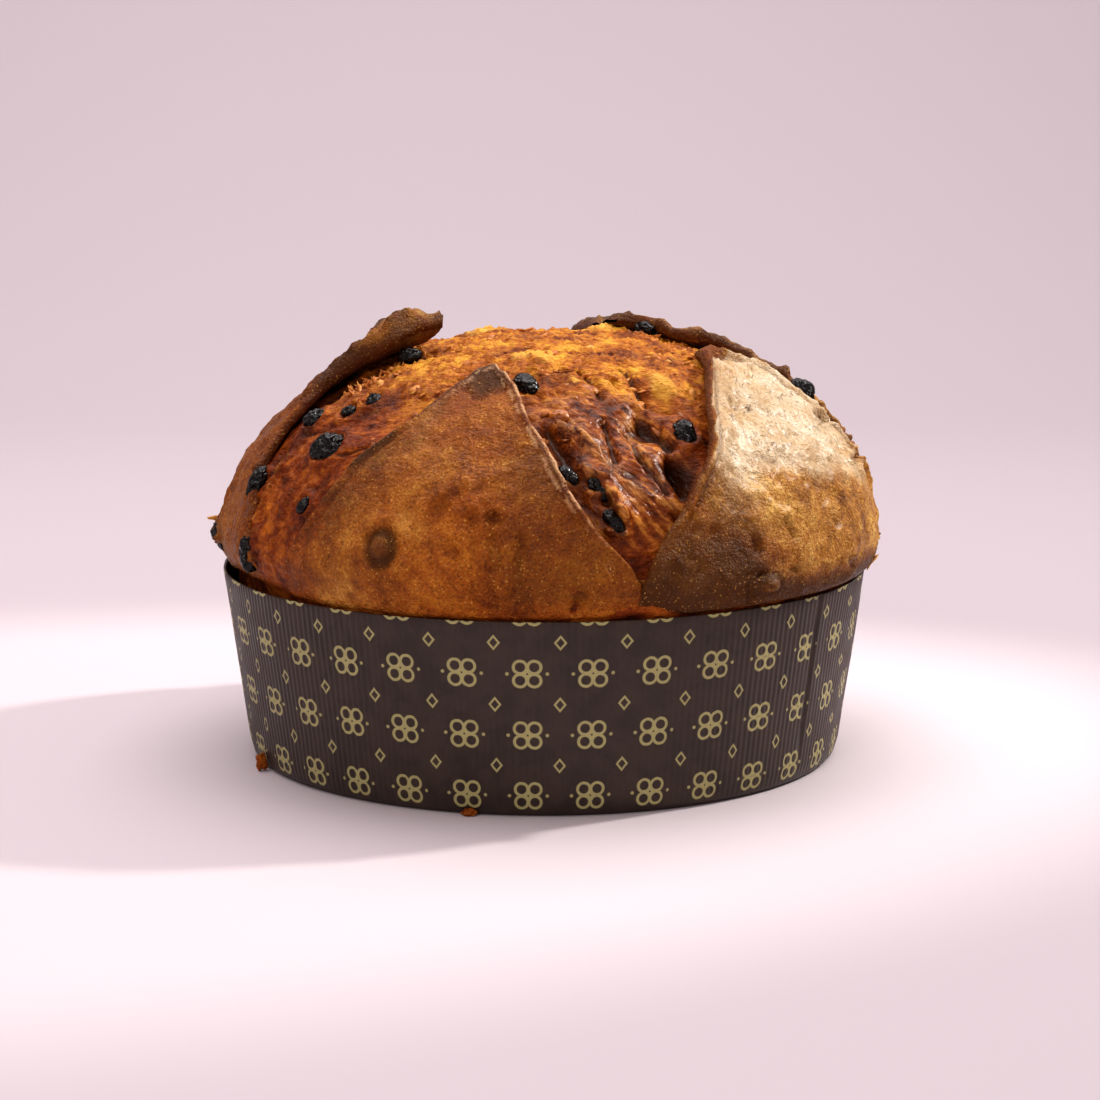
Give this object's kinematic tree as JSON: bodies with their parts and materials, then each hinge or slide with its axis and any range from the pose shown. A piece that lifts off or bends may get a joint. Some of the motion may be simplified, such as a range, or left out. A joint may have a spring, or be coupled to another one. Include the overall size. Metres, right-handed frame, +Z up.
{
  "type": "panettone in a paper baking case",
  "caption": "Round low sweet bread with a domed brown crust cut in a cross, lifted flaps, raisins and candied peel, in its corrugated paper baking case.",
  "frame": {"origin": "centre of the paper case's base, on the surface that the loaf stands on", "axes": "+Z up; -Y is the front that the picture shows; +X to the right seen from the front"},
  "size_m": [0.2379, 0.2363, 0.1593],
  "materials": {
    "paper": "satin brown baking paper with a pale gold print",
    "crust": "baked crust and torn crumb",
    "raisin": "wrinkled and slightly shiny",
    "peel": "amber and shiny"
  },
  "bodies": {
    "root": {"paper_case": "paper", "loaf": "crust", "raisin_01": "raisin", "raisin_02": "raisin", "raisin_03": "raisin", "raisin_04": "raisin", "raisin_05": "raisin", "raisin_06": "raisin", "raisin_07": "raisin", "raisin_08": "raisin", "raisin_09": "raisin", "raisin_10": "raisin", "raisin_11": "raisin", "raisin_12": "raisin", "raisin_13": "raisin", "raisin_14": "raisin", "raisin_15": "raisin", "raisin_16": "raisin", "raisin_17": "raisin", "raisin_18": "raisin", "raisin_19": "raisin", "raisin_20": "raisin", "raisin_21": "raisin", "raisin_22": "raisin", "candied_peel_1": "peel", "candied_peel_2": "peel", "candied_peel_3": "peel"}
  },
  "joints": []
}
